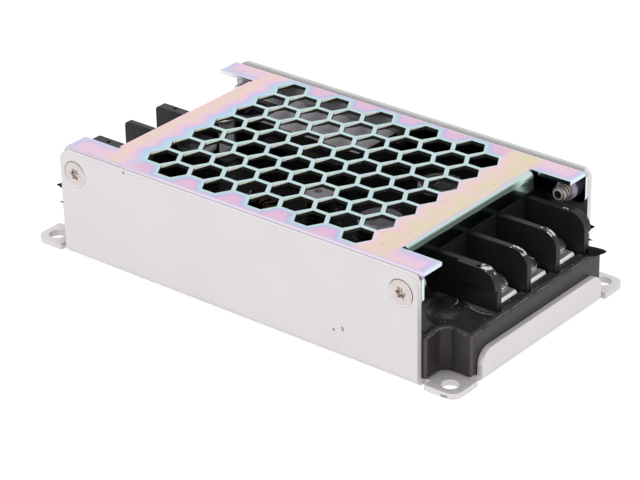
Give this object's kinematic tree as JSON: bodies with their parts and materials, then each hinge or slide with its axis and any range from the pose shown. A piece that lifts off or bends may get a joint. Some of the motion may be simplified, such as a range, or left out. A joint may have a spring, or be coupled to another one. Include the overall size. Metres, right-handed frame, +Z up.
{
  "type": "enclosed dc-dc converter",
  "caption": "Potted dc-dc converter in a folded metal case with mounting ears, a hexagon-vented folded cover and a barrier terminal block with clamp screws at each end.",
  "frame": {"origin": "middle of the chassis floor's underside", "axes": "+X along the case towards the input terminals, +Z up through the vented cover"},
  "size_m": [0.106, 0.056, 0.023],
  "materials": {
    "chassis_metal": "satin blasted and clear anodised sheet",
    "cover_plating": "iridescent passivated zinc plating on steel sheet",
    "screw_nickel": "bright nickel plating",
    "tray_plastic": "charcoal satin moulding",
    "potting": "black cured potting resin",
    "board_laminate": "green solder mask on glass laminate",
    "block_plastic": "charcoal satin moulding",
    "tinned_brass": "bright tin plating",
    "terminal_steel": "nickel plating",
    "ferrite": "dull sintered ferrite",
    "bobbin_plastic": "dull moulding",
    "coil_tape": "black insulating tape over copper",
    "copper_wire": "copper under dark enamel",
    "can_sleeve": "sleeved aluminium can",
    "package_plastic": "moulded package",
    "pale_plastic": "moulded package",
    "varistor_coat": "dipped coat"
  },
  "bodies": {
    "case": {"chassis": "chassis_metal", "top_cover": "cover_plating", "cover_screws": "screw_nickel", "potting_tray": "tray_plastic", "potting_compound": "potting", "circuit_board": "board_laminate", "input_terminal_block": "block_plastic", "output_terminal_block": "block_plastic", "input_terminal_tabs": "tinned_brass", "output_terminal_tabs": "tinned_brass", "transformer_core": "ferrite", "input_choke_core": "ferrite", "output_choke_core": "ferrite", "transformer_bobbin": "bobbin_plastic", "transformer_winding": "coil_tape", "input_choke_winding": "copper_wire", "output_choke_winding": "copper_wire", "input_capacitors": "can_sleeve", "output_capacitors": "can_sleeve", "power_transistors": "package_plastic", "rectifier_diodes": "package_plastic", "control_chip": "package_plastic", "fuse": "package_plastic", "optocoupler": "pale_plastic", "varistor": "varistor_coat"},
    "input_clamp_body_1": {"input_clamp_1": "terminal_steel", "input_washer_1": "terminal_steel"},
    "input_screw_body_1": {"input_screw_1": "terminal_steel"},
    "input_clamp_body_2": {"input_clamp_2": "terminal_steel", "input_washer_2": "terminal_steel"},
    "input_screw_body_2": {"input_screw_2": "terminal_steel"},
    "input_clamp_body_3": {"input_clamp_3": "terminal_steel", "input_washer_3": "terminal_steel"},
    "input_screw_body_3": {"input_screw_3": "terminal_steel"},
    "output_clamp_body_1": {"output_clamp_1": "terminal_steel", "output_washer_1": "terminal_steel"},
    "output_screw_body_1": {"output_screw_1": "terminal_steel"},
    "output_clamp_body_2": {"output_clamp_2": "terminal_steel", "output_washer_2": "terminal_steel"},
    "output_screw_body_2": {"output_screw_2": "terminal_steel"}
  },
  "joints": [
    {"name": "input_clamp_1_lift", "type": "slide", "parent": "case", "child": "input_clamp_body_1", "axis": [0, 0, 1], "range_m": [0, 0.003]},
    {"name": "input_screw_1_turn", "type": "hinge", "parent": "input_clamp_body_1", "child": "input_screw_body_1", "pos_m": [0.04425, -0.0055, 0.0115], "axis": [0, 0, 1], "range_deg": [0, 1800]},
    {"name": "input_clamp_2_lift", "type": "slide", "parent": "case", "child": "input_clamp_body_2", "axis": [0, 0, 1], "range_m": [0, 0.003]},
    {"name": "input_screw_2_turn", "type": "hinge", "parent": "input_clamp_body_2", "child": "input_screw_body_2", "pos_m": [0.04425, 0.004, 0.0115], "axis": [0, 0, 1], "range_deg": [0, 1800]},
    {"name": "input_clamp_3_lift", "type": "slide", "parent": "case", "child": "input_clamp_body_3", "axis": [0, 0, 1], "range_m": [0, 0.003]},
    {"name": "input_screw_3_turn", "type": "hinge", "parent": "input_clamp_body_3", "child": "input_screw_body_3", "pos_m": [0.04425, 0.0135, 0.0115], "axis": [0, 0, 1], "range_deg": [0, 1800]},
    {"name": "output_clamp_1_lift", "type": "slide", "parent": "case", "child": "output_clamp_body_1", "axis": [0, 0, 1], "range_m": [0, 0.003]},
    {"name": "output_screw_1_turn", "type": "hinge", "parent": "output_clamp_body_1", "child": "output_screw_body_1", "pos_m": [-0.04425, 0.0021, 0.0115], "axis": [0, 0, 1], "range_deg": [0, 1800]},
    {"name": "output_clamp_2_lift", "type": "slide", "parent": "case", "child": "output_clamp_body_2", "axis": [0, 0, 1], "range_m": [0, 0.003]},
    {"name": "output_screw_2_turn", "type": "hinge", "parent": "output_clamp_body_2", "child": "output_screw_body_2", "pos_m": [-0.04425, -0.0074, 0.0115], "axis": [0, 0, 1], "range_deg": [0, 1800]}
  ],
  "couplings": [
    {"joint": "input_screw_1_turn", "follows": "input_clamp_1_lift", "rad_per_m": 10472},
    {"joint": "input_screw_2_turn", "follows": "input_clamp_2_lift", "rad_per_m": 10472},
    {"joint": "input_screw_3_turn", "follows": "input_clamp_3_lift", "rad_per_m": 10472},
    {"joint": "output_screw_1_turn", "follows": "output_clamp_1_lift", "rad_per_m": 10472},
    {"joint": "output_screw_2_turn", "follows": "output_clamp_2_lift", "rad_per_m": 10472}
  ]
}
